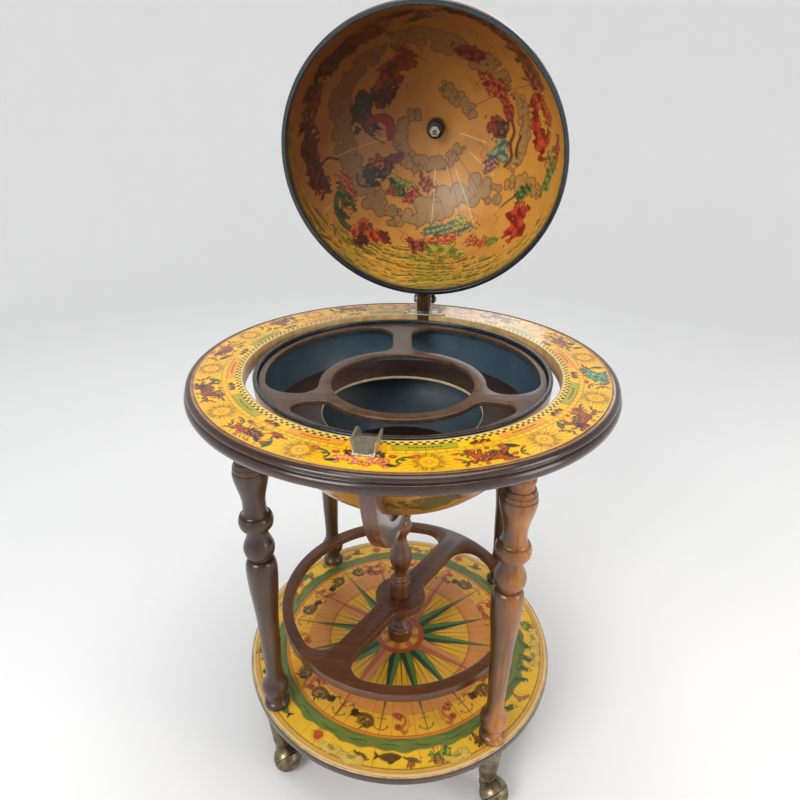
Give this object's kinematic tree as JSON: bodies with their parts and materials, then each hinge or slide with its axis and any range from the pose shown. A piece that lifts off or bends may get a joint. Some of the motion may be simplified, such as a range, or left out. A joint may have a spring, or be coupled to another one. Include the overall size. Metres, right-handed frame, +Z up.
{
  "type": "globe bar cabinet",
  "caption": "Globe drinks cabinet: hinged dome, bowl with bottle tray, horizon ring on turned legs, round lower shelf with bottle ring, ball casters.",
  "frame": {"origin": "centre of the flat underside of the tie bolt's head below the lower shelf, on the cabinet's vertical axis, 116 mm above the floor", "axes": "+Z up along the post, -Y towards the latch clip at the front, +Y towards the lid hinge at the back"},
  "size_m": [0.5688, 0.6635, 1.1101],
  "materials": {
    "walnut": "dark walnut stain under glossy lacquer",
    "amber_wood": "red-brown stained wood, satin lacquer",
    "board_wood": "light core wood, satin",
    "moulding": "brown painted bullnose moulding, slightly worn",
    "horizon_print": "lacquered yellow calendar print on the ring",
    "shelf_print": "lacquered compass-rose print on the shelf",
    "map_print": "gold map print, lacquered",
    "dome_print": "ochre sky print inside and gold map outside, lacquered",
    "slate": "satin blue-black lacquer",
    "disc_red": "dark red-brown flock-look discs",
    "tray_brown": "satin brown moulded tray",
    "brass": "antique brass with dark patina",
    "bronze": "antique bronze, dark in the recesses",
    "steel": "dull zinc-plated steel",
    "black_bush": "black moulded bush"
  },
  "bodies": {
    "frame": {"horizon_board": "board_wood", "horizon_inner_edging": "board_wood", "horizon_paper": "horizon_print", "horizon_moulding": "moulding", "shelf_board": "board_wood", "shelf_paper": "shelf_print", "shelf_edging": "moulding", "post_lower": "walnut", "post_upper": "walnut", "post_tie_bolt": "steel", "bottle_ring": "amber_wood", "lower_meridian_arc": "walnut", "arc_screw_back": "brass", "arc_screw_front": "brass", "bowl_pivot_washer": "brass", "bowl_pivot_bolt": "steel", "hinge_bracket": "brass", "hinge_bolt": "brass", "hinge_nut": "brass", "hinge_screw_left": "brass", "hinge_screw_right": "brass", "latch_clip": "brass", "clip_nail_left": "brass", "clip_nail_right": "brass", "leg_front_left": "walnut", "caster_ferrule_front_left": "bronze", "leg_front_right": "walnut", "caster_ferrule_front_right": "bronze", "leg_back_right": "walnut", "caster_ferrule_back_right": "bronze", "leg_back_left": "walnut", "caster_ferrule_back_left": "bronze"},
    "lid_arc": {"upper_meridian_arc": "walnut", "pole_pin": "steel", "pole_spacer": "brass", "pole_nut": "steel"},
    "dome": {"dome_shell": "dome_print", "dome_rim_band": "slate", "pole_bush": "black_bush"},
    "bowl": {"bowl_shell": "map_print", "bowl_rim_band": "slate", "bowl_tray_ledge": "slate", "bowl_mid_disc": "disc_red", "bowl_floor_disc": "disc_red"},
    "tray": {"bottle_tray": "tray_brown"},
    "swivel_front_left": {"caster_hood_front_left": "bronze", "caster_axle_front_left": "steel"},
    "wheel_front_left": {"caster_wheel_front_left": "bronze"},
    "swivel_front_right": {"caster_hood_front_right": "bronze", "caster_axle_front_right": "steel"},
    "wheel_front_right": {"caster_wheel_front_right": "bronze"},
    "swivel_back_right": {"caster_hood_back_right": "bronze", "caster_axle_back_right": "steel"},
    "wheel_back_right": {"caster_wheel_back_right": "bronze"},
    "swivel_back_left": {"caster_hood_back_left": "bronze", "caster_axle_back_left": "steel"},
    "wheel_back_left": {"caster_wheel_back_left": "bronze"}
  },
  "joints": [
    {"name": "lid_hinge", "type": "hinge", "parent": "frame", "child": "lid_arc", "pos_m": [0, 0.2235, 0.546], "axis": [-1, 0, 0], "range_deg": [-75, 0]},
    {"name": "dome_spin", "type": "hinge", "parent": "lid_arc", "child": "dome", "pos_m": [0, 0.13909, 0.75477], "axis": [0, 0.9659, 0.2588], "continuous": true},
    {"name": "bowl_spin", "type": "hinge", "parent": "frame", "child": "bowl", "pos_m": [0, 0, 0.517], "axis": [0, 0, 1], "continuous": true},
    {"name": "tray_lift", "type": "slide", "parent": "bowl", "child": "tray", "axis": [0, 0, 1], "range_m": [0, 0.04]},
    {"name": "swivel_front_left", "type": "hinge", "parent": "frame", "child": "swivel_front_left", "pos_m": [-0.16193, -0.16193, -0.071], "axis": [0, 0, 1], "continuous": true},
    {"name": "roll_front_left", "type": "hinge", "parent": "swivel_front_left", "child": "wheel_front_left", "pos_m": [-0.15061, -0.17324, -0.094], "axis": [-0.5792, 0.5792, 0.5736], "continuous": true},
    {"name": "swivel_front_right", "type": "hinge", "parent": "frame", "child": "swivel_front_right", "pos_m": [0.16193, -0.16193, -0.071], "axis": [0, 0, 1], "continuous": true},
    {"name": "roll_front_right", "type": "hinge", "parent": "swivel_front_right", "child": "wheel_front_right", "pos_m": [0.17324, -0.17324, -0.094], "axis": [-0.5792, 0.5792, 0.5736], "continuous": true},
    {"name": "swivel_back_right", "type": "hinge", "parent": "frame", "child": "swivel_back_right", "pos_m": [0.16193, 0.16193, -0.071], "axis": [0, 0, 1], "continuous": true},
    {"name": "roll_back_right", "type": "hinge", "parent": "swivel_back_right", "child": "wheel_back_right", "pos_m": [0.17324, 0.15061, -0.094], "axis": [-0.5792, 0.5792, 0.5736], "continuous": true},
    {"name": "swivel_back_left", "type": "hinge", "parent": "frame", "child": "swivel_back_left", "pos_m": [-0.16193, 0.16193, -0.071], "axis": [0, 0, 1], "continuous": true},
    {"name": "roll_back_left", "type": "hinge", "parent": "swivel_back_left", "child": "wheel_back_left", "pos_m": [-0.15061, 0.15061, -0.094], "axis": [-0.5792, 0.5792, 0.5736], "continuous": true}
  ]
}
